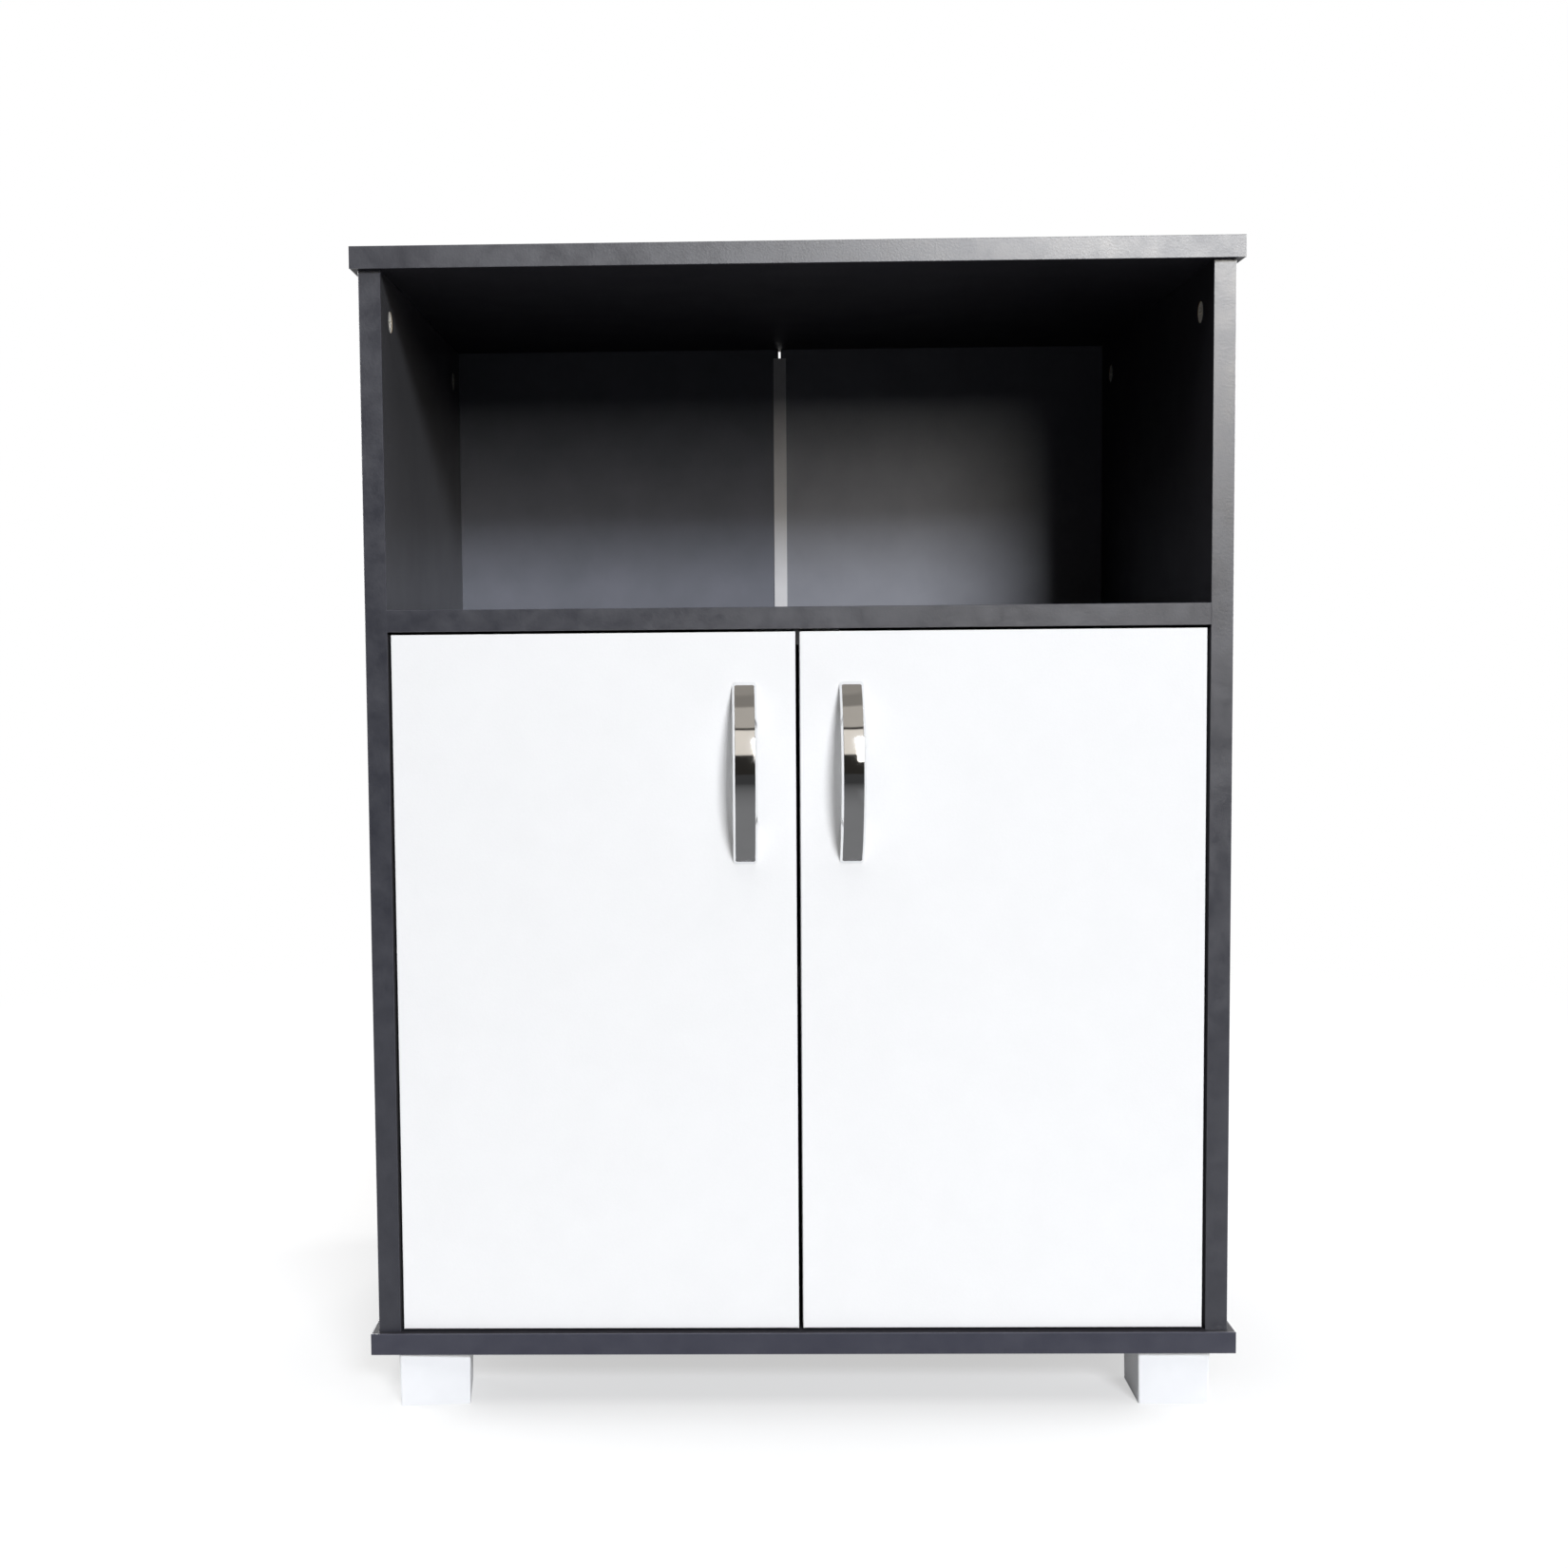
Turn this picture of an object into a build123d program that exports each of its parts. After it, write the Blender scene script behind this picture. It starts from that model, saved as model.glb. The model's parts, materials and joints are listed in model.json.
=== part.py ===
from build123d import *
import math
import os

# A free-standing kitchen base cabinet: an open compartment over a cupboard with two inset doors.
# X runs along the width, Y from the front to the back and Z up. Z = 0 is the floor, X = 0 is the
# middle of the width, and Y = 0 is halfway between the handles' fronts and the rear edges.

# Overall size of the cabinet
overall_width = 600.0
overall_depth = 400.0
overall_height = 800.0

# Boards and their edging
board = 15.0
band = 0.8
band_chamfer = 0.3
overhang = 5.0
niche_height = 229.0

# Back boards in their grooves, and the strip that joins them
back_thickness = 3.0
back_setback = 10.0
groove_depth = 6.0
groove_side_clearance = 0.1
groove_end_clearance = 0.5
back_slit = 2.0
strip_flange_width = 11.0
strip_flange_thickness = 1.0
strip_web_clearance = 0.2
strip_top_cut = 7.5
strip_foot_clearance = 1.0

# Middle shelf and inner shelf
shelf_rear_clearance = 2.0
inner_shelf_height = 236.0
inner_shelf_setback = 30.0
inner_shelf_side_gap = 1.0

# Doors
door_thickness = 15.0
door_side_gap = 2.5
door_end_gap = 2.0
door_centre_gap = 3.0

# Arched handles
handle_face_length = 120.0
handle_face_width = 14.0
handle_reach = 27.0
handle_thickness = 4.5
handle_skirt_side = 1.3
handle_skirt_end = 2.4
handle_skirt_depth = 3.0
handle_end_thickness = 3.5
handle_screw_spacing = 96.0
handle_screw_wall = 5.0
handle_corner_radius = 2.0
handle_from_door_top = 34.1
handle_from_door_edge = 35.0
handle_screw_radius = 2.0
handle_screw_engagement = 7.0
handle_thread_depth = 9.0
handle_door_hole_clearance = 0.25

# Square feet
foot_height = 38.0
foot_width = 49.6
foot_sole_width = 48.5
foot_setback = 6.0
foot_side_inset = 16.5
foot_wall = 2.5
foot_top_thickness = 4.0
foot_corner_radius = 1.5
left_front_foot_turn = 5.5

# Cam locks, cam bolts and dowels
cam_radius = 7.4
cam_bore_clearance = 0.1
cam_height = 12.2
cam_bore_floor_clearance = 0.3
cam_distance = 29.0
cam_front_offset = 37.0
cam_rear_offset = 50.0
cam_side_hole_radius = 3.4
cam_side_hole_overrun = 1.0
cam_recess_length = 8.0
cam_recess_width = 1.6
cam_recess_depth = 2.0
cam_face_recess = 0.2
bolt_thread_radius = 2.9
bolt_thread_length = 11.0
bolt_shaft_radius = 3.5
bolt_neck_radius = 1.7
bolt_neck_length = 7.0
bolt_head_radius = 3.0
bolt_head_length = 3.0
bolt_bore_radius = 4.0
dowel_radius = 3.95
dowel_length = 30.0
dowel_face_depth = 10.0
hole_end_clearance = 0.5
dowel_spacing = 32.0
dowel_chamfer = 0.8
fit_clearance = 0.05

# Shelf pins
pin_hole_pitch = 32.0
pin_radius = 2.5
pin_depth_in_side = 8.0
pin_reach = 9.0
pin_collar_radius = 3.6
pin_collar_thickness = 0.8
pin_front_offset = 60.0
pin_rear_offset = 75.0

# Single-pin concealed hinges
hinge_end_distance = 80.0
hinge_pin_inset = 10.5
hinge_pin_depth = 6.5
hinge_pin_radius = 1.25
hinge_pin_half_length = 11.5
hinge_running_clearance = 0.05
cup_radius = 17.5
cup_depth = 12.0
cup_wall = 0.8
cup_setback = 22.0
cup_flange_margin = 1.2
cup_flange_thickness = 1.2
cup_wing_width = 14.0
cup_wing_length = 62.0
cup_wing_radius = 5.0
cup_screw_spacing = 48.0
cup_screw_offset = 6.0
cup_ear_gap = 0.3
cup_ear_reach = 3.0
cup_ear_height = 2.8
arm_sheet = 2.2
arm_hook_half_width = 7.0
arm_knuckle_wall = 1.05
arm_web_half_width = 8.8
arm_flange_thickness = 1.8
arm_flange_foot_gap = 1.0
arm_bend_radius = 1.5
arm_door_clearance = 1.8
arm_corner_clearance = 0.6
arm_rear = 90.0
arm_flange_front = 34.0
plate_thickness = 2.0
plate_rib_height = 6.0
plate_rib_clearance = 0.2
plate_front = 36.0
plate_rear = 88.0
plate_wing_offset = 52.0
plate_wing_width = 12.0
plate_wing_half_length = 24.0
plate_wing_corner_radius = 4.0
plate_screw_spacing = 32.0
arm_screw_offset = 70.0

# Twin magnetic catch and strike plates
catch_length = 60.0
catch_depth = 18.0
catch_height = 11.0
catch_contact_gap = 0.3
catch_pocket_start = 4.0
catch_pocket_width = 16.0
catch_pocket_depth = 14.0
catch_floor = 2.5
pole_thickness = 1.0
pole_protrusion = 0.5
magnet_height = 4.0
magnet_setback = 0.2
catch_screw_from_end = 4.5
catch_corner_radius = 1.5
strike_width = 16.0
strike_height = 17.0
strike_thickness = 1.2
strike_top_margin = 1.0
strike_screw_from_bottom = 4.0
strike_corner_radius = 1.5

# Screws
screw_head_radius = 3.2
screw_head_height = 1.8
screw_shank_radius = 1.75
screw_tip_length = 3.0
screw_tip_radius = 0.4
short_screw_length = 12.0
foot_screw_length = 16.0
pan_head_radius = 4.0
pan_head_height = 2.4
pan_head_fillet = 0.8
arm_screw_radius = 2.0
arm_screw_length = 8.5
arm_screw_hole_clearance = 0.2
cross_width = 0.8
screw_cross_length = 3.6
pan_cross_length = 4.4
cross_depth = 1.1

# Places worked out from the sizes
half_width = overall_width / 2
outer = half_width - overhang
inner = outer - board
front = (handle_reach + overhang - overall_depth) / 2
panel_front = front - overhang
rear = panel_front + overall_depth
bottom_under = foot_height
bottom_top = bottom_under + board
top_under = overall_height - board
shelf_top = top_under - niche_height
shelf_under = shelf_top - board
back_rear = rear - back_setback
back_front = back_rear - back_thickness
shelf_rear = back_front - shelf_rear_clearance
inner_shelf_under = bottom_top + inner_shelf_height
door_outer = inner - door_side_gap
door_inner = door_centre_gap / 2
door_low = bottom_top + door_end_gap
door_high = shelf_under - door_end_gap
door_back = front + door_thickness
handle_x = -(door_inner + handle_from_door_edge)
handle_half_length = handle_face_length / 2 + handle_skirt_end
handle_z = door_high - handle_from_door_top - handle_half_length
hinge_heights = (door_low + hinge_end_distance, door_high - hinge_end_distance)
pin_u = door_side_gap + hinge_pin_inset
cup_u = door_side_gap + cup_setback
cam_bore_radius = cam_radius + cam_bore_clearance
cam_bore_depth = cam_face_recess + cam_height + cam_bore_floor_clearance
cam_rows = (front + cam_front_offset, rear - cam_rear_offset)
dowel_rows = (cam_rows[0] + dowel_spacing, cam_rows[1] - dowel_spacing)
shelf_cam_rows = (front + cam_front_offset, shelf_rear - cam_rear_offset)
shelf_dowel_rows = (shelf_cam_rows[0] + dowel_spacing, shelf_cam_rows[1] - dowel_spacing)
side_middle = inner + board / 2
shelf_middle = shelf_under + board / 2
pin_rows = (front + pin_front_offset, rear - pin_rear_offset)
pin_z = inner_shelf_under - pin_radius
catch_front = door_back + strike_thickness + catch_contact_gap + pole_protrusion
catch_under = shelf_under - catch_height

AT_START = (Align.CENTER, Align.CENTER, Align.MIN)
LEFT, RIGHT = (-1, 0, 0), (1, 0, 0)
FORWARD, BACKWARD = (0, -1, 0), (0, 1, 0)
DOWN, UP = (0, 0, -1), (0, 0, 1)


def block(x0, x1, y0, y1, z0, z1):
    """A box between two corners."""
    middle = Pos((x0 + x1) / 2, (y0 + y1) / 2, (z0 + z1) / 2)
    return middle * Box(x1 - x0, y1 - y0, z1 - z0)


def rod(start, along, length, radius):
    """A cylinder from a point in a direction."""
    return Plane(origin=start, z_dir=along) * Cylinder(radius, length, align=AT_START)


def stepped(start, along, distance):
    """The point at a distance from a start in a direction."""
    return tuple(s + a * distance for s, a in zip(start, along))


def group(pieces):
    """Separate solids that share one node."""
    return Compound([solid for piece in pieces for solid in piece.solids()])


def mirrored(shape):
    """The same piece on the other side of the cabinet."""
    return mirror(shape, about=Plane.YZ)


def both_sides(pieces):
    """Left-hand pieces and their mirror images."""
    return pieces + [mirrored(piece) for piece in pieces]


def hinge_point(u, y, z):
    """A point at a distance u inwards from the left side panel's inner face."""
    return (-inner + u, y, z)


# Screws and small hardware, each made along its own local Z axis


def cross_recess(depth, length, width):
    """The cross in a screw head or a cam, cut down from Z = 0."""
    arm = Box(length, width, depth, align=AT_START)
    return arm + Rot(0, 0, 90) * arm


def countersunk_body(length, clearance):
    """A countersunk wood screw, or with a clearance the hole that it makes."""
    head = Cone(
        screw_head_radius + clearance,
        screw_shank_radius + clearance,
        screw_head_height,
        align=AT_START,
    )
    straight = length - screw_head_height - screw_tip_length
    shank = Cylinder(screw_shank_radius + clearance, straight, align=AT_START)
    tip = Cone(
        screw_shank_radius + clearance,
        screw_tip_radius + clearance,
        screw_tip_length + clearance,
        align=AT_START,
    )
    return head + Pos(0, 0, screw_head_height) * shank + Pos(0, 0, length - screw_tip_length) * tip


def countersunk_screw(start, along, length):
    """A wood screw whose head is flush with the face at its start."""
    recess = cross_recess(cross_depth, screw_cross_length, cross_width)
    return Plane(origin=start, z_dir=along) * (countersunk_body(length, 0) - recess)


def countersunk_hole(start, along, length):
    """The hole of a countersunk screw."""
    return Plane(origin=start, z_dir=along) * countersunk_body(length, fit_clearance)


def pan_screw(start, along, length, radius, pointed):
    """A screw whose round head stands on the face at its start."""
    head = Cylinder(pan_head_radius, pan_head_height, align=AT_START)
    head = fillet(head.edges().sort_by(Axis.Z)[0], pan_head_fillet)
    recess = cross_recess(cross_depth, pan_cross_length, cross_width)
    head = Pos(0, 0, -pan_head_height) * (head - recess)
    tip_length = screw_tip_length if pointed else 0
    body = head + Cylinder(radius, length - tip_length, align=AT_START)
    if pointed:
        tip = Cone(radius, screw_tip_radius, tip_length, align=AT_START)
        body += Pos(0, 0, length - tip_length) * tip
    return Plane(origin=start, z_dir=along) * body


def cam_lock(centre, inward, toward):
    """A cam that lies in its bore and takes the head of a bolt from one side."""
    body = Pos(0, 0, cam_face_recess) * Cylinder(cam_radius, cam_height, align=AT_START)
    recess = cross_recess(cam_recess_depth, cam_recess_length, cam_recess_width)
    back_reach = bolt_head_length / 2 + cam_bore_clearance
    side_reach = back_reach + cam_radius + cam_side_hole_overrun
    side_hole = rod((-back_reach, 0, board / 2), RIGHT, side_reach, cam_side_hole_radius)
    body = body - Pos(0, 0, cam_face_recess) * recess - side_hole
    return Plane(origin=centre, x_dir=toward, z_dir=inward) * body


def cam_bolt(start, along):
    """A bolt screwed into one panel, with its head in the cam of the other."""
    head_start = cam_distance - bolt_head_length / 2
    neck_start = head_start - bolt_neck_length
    thread = Pos(0, 0, -bolt_thread_length) * Cylinder(
        bolt_thread_radius, bolt_thread_length, align=AT_START
    )
    shaft = Cylinder(bolt_shaft_radius, neck_start, align=AT_START)
    neck = Pos(0, 0, neck_start) * Cylinder(bolt_neck_radius, bolt_neck_length, align=AT_START)
    head = Pos(0, 0, head_start) * Cylinder(bolt_head_radius, bolt_head_length, align=AT_START)
    return Plane(origin=start, z_dir=along) * (thread + shaft + neck + head)


def bolt_thread_hole(start, along):
    """The hole that a bolt's thread sits in, from the panel's face."""
    depth = bolt_thread_length + hole_end_clearance
    return rod(start, along, depth, bolt_thread_radius + fit_clearance)


def cam_bores(centre, inward, toward):
    """The round pocket of a cam and the bore that its bolt comes in by."""
    pocket = rod(centre, inward, cam_bore_depth, cam_bore_radius)
    bolt_start = stepped(centre, inward, board / 2)
    return pocket + rod(bolt_start, toward, cam_distance, bolt_bore_radius)


def dowel(start, along):
    """A beech dowel that starts in a panel's face and ends in another panel's edge."""
    pin = Cylinder(dowel_radius, dowel_length, align=AT_START)
    pin = chamfer(pin.edges().filter_by(GeomType.CIRCLE), dowel_chamfer)
    return Plane(origin=stepped(start, along, -dowel_face_depth), z_dir=along) * pin


def dowel_hole_in_face(start, along):
    """The short hole of a dowel, drilled into a face."""
    depth = dowel_face_depth + hole_end_clearance
    return rod(start, along, depth, dowel_radius + fit_clearance)


def dowel_hole_in_edge(start, along):
    """The long hole of a dowel, drilled into an edge."""
    depth = dowel_length - dowel_face_depth + hole_end_clearance
    return rod(start, along, depth, dowel_radius + fit_clearance)


# Panels


def back_groove(x0, x1, z0, z1):
    """The groove that a panel holds the back boards in."""
    y0 = back_front - groove_side_clearance
    y1 = back_rear + groove_side_clearance
    return block(x0, x1, y0, y1, z0, z1)


def overhanging_panel(z0, z1, joint_z, inward, groove_z0, groove_z1):
    """The top or bottom panel, with its groove and the holes of its corner joints."""
    half = half_width - band
    panel = block(-half, half, panel_front + band, rear, z0, z1)
    groove_half = inner + groove_depth
    cuts = [back_groove(-groove_half, groove_half, groove_z0, groove_z1)]
    for x in (-side_middle, side_middle):
        cuts += [bolt_thread_hole((x, y, joint_z), inward) for y in cam_rows]
        cuts += [dowel_hole_in_face((x, y, joint_z), inward) for y in dowel_rows]
    return panel, cuts


def top_panel():
    panel, cuts = overhanging_panel(
        top_under, overall_height, top_under, UP, top_under, top_under + groove_depth
    )
    return panel - cuts


def bottom_panel():
    panel, cuts = overhanging_panel(
        bottom_under, bottom_top, bottom_top, DOWN, bottom_top - groove_depth, bottom_top
    )
    hole_radius = screw_shank_radius + fit_clearance
    cuts += [rod(place, UP, foot_screw_bite(), hole_radius) for place in foot_screw_places()]
    return panel - cuts


def left_side_panel():
    """The left side: cams near both ends, a row of shelf-pin holes and the hinge screws."""
    panel = block(-outer, -inner, front + band, rear, bottom_top, top_under)
    cuts = [back_groove(-inner - groove_depth, -inner, bottom_top, top_under)]
    for y in cam_rows:
        cuts.append(cam_bores((-inner, y, top_under - cam_distance), LEFT, UP))
        cuts.append(cam_bores((-inner, y, bottom_top + cam_distance), LEFT, DOWN))
    for y in dowel_rows:
        cuts.append(dowel_hole_in_edge((-side_middle, y, top_under), DOWN))
        cuts.append(dowel_hole_in_edge((-side_middle, y, bottom_top), UP))
    for y in shelf_cam_rows:
        cuts.append(bolt_thread_hole((-inner, y, shelf_middle), LEFT))
    for y in shelf_dowel_rows:
        cuts.append(dowel_hole_in_face((-inner, y, shelf_middle), LEFT))
    for y in pin_rows:
        for z in (pin_z - pin_hole_pitch, pin_z, pin_z + pin_hole_pitch):
            depth = pin_depth_in_side + hole_end_clearance
            cuts.append(rod((-inner, y, z), LEFT, depth, pin_radius + fit_clearance))
    cuts += [countersunk_hole(place, LEFT, short_screw_length) for place in plate_screw_places()]
    return panel - cuts


def middle_shelf():
    shelf = block(-inner, inner, front + band, shelf_rear, shelf_under, shelf_top)
    cuts = []
    for y in shelf_cam_rows:
        cuts.append(cam_bores((-inner + cam_distance, y, shelf_under), UP, LEFT))
    for y in shelf_dowel_rows:
        cuts.append(dowel_hole_in_edge((-inner, y, shelf_middle), RIGHT))
    cuts = both_sides(cuts)
    cuts += [countersunk_hole(place, UP, short_screw_length) for place in catch_screw_places()]
    return shelf - cuts


def inner_shelf():
    half = inner - inner_shelf_side_gap
    shelf_front = front + inner_shelf_setback
    top = inner_shelf_under + board
    return block(-half, half, shelf_front + band, shelf_rear, inner_shelf_under, top)


def front_band(x0, x1, y, z0, z1, long_axis):
    """A strip of edging glued to a panel's front edge, with its two long edges eased."""
    strip = block(x0, x1, y, y + band, z0, z1)
    front_face = strip.faces().sort_by(Axis.Y)[0]
    return chamfer(front_face.edges().filter_by(long_axis), band_chamfer)


def end_band(z0, z1):
    """A strip of edging on the left end of the top or bottom panel."""
    strip = block(-half_width, -half_width + band, panel_front + band, rear, z0, z1)
    outer_face = strip.faces().sort_by(Axis.X)[0]
    return chamfer(outer_face.edges().filter_by(Axis.Y), band_chamfer)


def panel_bands(z0, z1):
    """The front band and both end bands of the top or bottom panel."""
    long_band = front_band(-half_width, half_width, panel_front, z0, z1, Axis.X)
    return group([long_band] + both_sides([end_band(z0, z1)]))


# Back


def left_back_board():
    """One of the two thin boards, whose inner edge lies in the joining strip."""
    insert = groove_depth - groove_end_clearance
    return block(
        -inner - insert,
        -back_slit / 2,
        back_front,
        back_rear,
        bottom_top - insert,
        top_under + insert,
    )


def back_joining_strip():
    """The H-shaped plastic strip between the back boards, cut short at its top."""
    z0 = bottom_top + strip_foot_clearance
    z1 = top_under - strip_top_cut
    half = strip_flange_width / 2
    face_gap = groove_side_clearance
    front_face = back_front - face_gap
    rear_face = back_rear + face_gap
    web_half = back_slit / 2 - strip_web_clearance
    front_flange = block(-half, half, front_face - strip_flange_thickness, front_face, z0, z1)
    rear_flange = block(-half, half, rear_face, rear_face + strip_flange_thickness, z0, z1)
    return front_flange + rear_flange + block(-web_half, web_half, front_face, rear_face, z0, z1)


# Corner joints


def corner_cam_locks(z, toward):
    """The cams of the four joints at one end of the side panels."""
    return group(both_sides([cam_lock((-inner, y, z), LEFT, toward) for y in cam_rows]))


def corner_cam_bolts(z, along):
    """The bolts of the same four joints, screwed into the top or bottom panel."""
    return group(both_sides([cam_bolt((-side_middle, y, z), along) for y in cam_rows]))


def shelf_cam_locks():
    centre = -inner + cam_distance
    return group(both_sides([cam_lock((centre, y, shelf_under), UP, LEFT) for y in shelf_cam_rows]))


def shelf_cam_bolts():
    return group(both_sides([cam_bolt((-inner, y, shelf_middle), RIGHT) for y in shelf_cam_rows]))


def wooden_dowels():
    """The dowels of all the carcass joints."""
    pins = [dowel((-side_middle, y, top_under), DOWN) for y in dowel_rows]
    pins += [dowel((-side_middle, y, bottom_top), UP) for y in dowel_rows]
    pins += [dowel((-inner, y, shelf_middle), RIGHT) for y in shelf_dowel_rows]
    return group(both_sides(pins))


def shelf_pins():
    """Four steel pins with a collar, which carry the inner shelf."""
    pins = []
    for y in pin_rows:
        start = (-inner - pin_depth_in_side, y, pin_z)
        shaft = rod(start, RIGHT, pin_depth_in_side + pin_reach, pin_radius)
        pins.append(shaft + rod((-inner, y, pin_z), RIGHT, pin_collar_thickness, pin_collar_radius))
    return group(both_sides(pins))


# Feet


def foot_centre(front_row):
    """The middle of a left foot in the front or the rear row: its X and Y."""
    x = -half_width + foot_side_inset + foot_width / 2
    from_edge = foot_setback + foot_width / 2
    return x, panel_front + from_edge if front_row else rear - from_edge


def square_foot():
    """A square foot with its middle over the origin. It narrows a little towards the floor, is
    hollow from below and has a hole for its screw."""
    sole = RectangleRounded(foot_sole_width, foot_sole_width, foot_corner_radius)
    head = RectangleRounded(foot_width, foot_width, foot_corner_radius)
    body = loft([sole, Pos(0, 0, foot_height) * head], ruled=True)
    reach = foot_sole_width / 2 - foot_wall
    pocket = block(-reach, reach, -reach, reach, 0, foot_height - foot_top_thickness)
    return body - pocket - rod((0, 0, 0), UP, foot_height, screw_shank_radius + fit_clearance)


def feet():
    """The four feet by name. The left front one is screwed on slightly turned."""
    placed = {}
    for row, front_row in (("front", True), ("back", False)):
        x, y = foot_centre(front_row)
        turn = left_front_foot_turn if front_row else 0
        placed["left_" + row + "_foot"] = Pos(x, y, 0) * Rot(0, 0, turn) * square_foot()
        placed["right_" + row + "_foot"] = Pos(-x, y, 0) * square_foot()
    return placed


def foot_screw_bite():
    """How deep a foot's screw hole goes into the bottom panel."""
    return foot_screw_length - foot_top_thickness + hole_end_clearance


def foot_screw_places():
    """Where the four foot screws enter the bottom panel."""
    places = []
    for front_row in (True, False):
        x, y = foot_centre(front_row)
        places += [(x, y, bottom_under), (-x, y, bottom_under)]
    return places


def foot_screws():
    screws = []
    for place in foot_screw_places():
        seat = stepped(place, DOWN, foot_top_thickness)
        screws.append(pan_screw(seat, UP, foot_screw_length, screw_shank_radius, True))
    return group(screws)


# Doors


def handle_screw_places():
    """Where the screws of the left handle pass through the back of its door."""
    return [
        (handle_x, door_back, handle_z + offset)
        for offset in (-handle_screw_spacing / 2, handle_screw_spacing / 2)
    ]


def cup_centre(z):
    return hinge_point(cup_u, door_back, z)


def cup_screw_places():
    """Where the screws of the left door's cups start, on the faces of the cup flanges."""
    y = door_back + cup_flange_thickness
    u = cup_u + cup_screw_offset
    half = cup_screw_spacing / 2
    return [hinge_point(u, y, z + offset) for z in hinge_heights for offset in (-half, half)]


def strike_screw_place():
    x = -(catch_pocket_start + strike_width / 2)
    z = door_high - strike_top_margin - strike_height + strike_screw_from_bottom
    return (x, door_back + strike_thickness, z)


def left_door():
    """The door's core board, with everything that is drilled into its back."""
    core = block(
        -door_outer + band, -door_inner - band, front, door_back, door_low + band, door_high - band
    )
    bore_depth = cup_depth + fit_clearance
    bore_radius = cup_radius + fit_clearance
    cuts = [rod(cup_centre(z), FORWARD, bore_depth, bore_radius) for z in hinge_heights]
    cuts += [countersunk_hole(place, FORWARD, short_screw_length) for place in cup_screw_places()]
    hole_radius = handle_screw_radius + handle_door_hole_clearance
    cuts += [rod(place, FORWARD, door_thickness, hole_radius) for place in handle_screw_places()]
    cuts.append(countersunk_hole(strike_screw_place(), FORWARD, short_screw_length))
    return core - cuts


def left_door_bands():
    """The four strips round the left door, with their front edges eased."""
    x0, x1 = -door_outer, -door_inner
    upright_a = block(x0, x0 + band, front, door_back, door_low, door_high)
    upright_b = block(x1 - band, x1, front, door_back, door_low, door_high)
    level_a = block(x0 + band, x1 - band, front, door_back, door_low, door_low + band)
    level_b = block(x0 + band, x1 - band, front, door_back, door_high - band, door_high)
    pieces = []
    for strip, axis, long_axis, outside in (
        (upright_a, Axis.X, Axis.Z, 0),
        (upright_b, Axis.X, Axis.Z, -1),
        (level_a, Axis.Z, Axis.X, 0),
        (level_b, Axis.Z, Axis.X, -1),
    ):
        outer_face = strip.faces().sort_by(axis)[outside]
        front_edge = outer_face.edges().filter_by(long_axis).sort_by(Axis.Y)[0]
        pieces.append(chamfer(front_edge, band_chamfer))
    return group(pieces)


def left_handle():
    """A bow of chromed metal. Its face is an arched band inside a sloping skirt, and a tighter arc
    behind leaves room for the fingers between its two feet."""
    face_half = handle_face_length / 2
    inner_half = handle_screw_spacing / 2 - handle_screw_radius - handle_screw_wall
    width = handle_face_width + 2 * handle_skirt_side
    out = front - handle_reach
    end = front - handle_end_thickness
    outline = [
        Line((front, handle_z - handle_half_length), (end, handle_z - face_half)),
        ThreePointArc((end, handle_z - face_half), (out, handle_z), (end, handle_z + face_half)),
        Line((end, handle_z + face_half), (front, handle_z + handle_half_length)),
        Line((front, handle_z + handle_half_length), (front, handle_z + inner_half)),
        ThreePointArc(
            (front, handle_z + inner_half),
            (out + handle_thickness, handle_z),
            (front, handle_z - inner_half),
        ),
        Line((front, handle_z - inner_half), (front, handle_z - handle_half_length)),
    ]
    profile = Plane.YZ * make_face(outline)
    bow = Pos(handle_x - width / 2, 0, 0) * extrude(profile, width, dir=RIGHT)
    for side in (0, -1):
        face = bow.faces().filter_by(GeomType.CYLINDER).sort_by(SortBy.AREA)[-1]
        edge = face.edges().filter_by(GeomType.CIRCLE).sort_by(Axis.X)[side]
        bow = chamfer(edge, handle_skirt_side, handle_skirt_depth, reference=face)
    slopes = bow.faces().filter_by(GeomType.PLANE).sort_by(Axis.Z)
    corners = slopes[0].edges() + slopes[-1].edges()
    bow = fillet(corners.filter_by(Axis.X, reverse=True), handle_corner_radius)
    hole_radius = handle_screw_radius + fit_clearance
    for x, _, z in handle_screw_places():
        bow -= rod((x, front, z), FORWARD, handle_thread_depth, hole_radius)
    return bow


def left_handle_screws():
    length = door_thickness + handle_screw_engagement
    places = handle_screw_places()
    return group([pan_screw(place, FORWARD, length, handle_screw_radius, False) for place in places])


# Hinges of the left door. The pin stands in the cup, and the goose-neck arm of the side panel
# reaches into the cup and turns about it.


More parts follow.
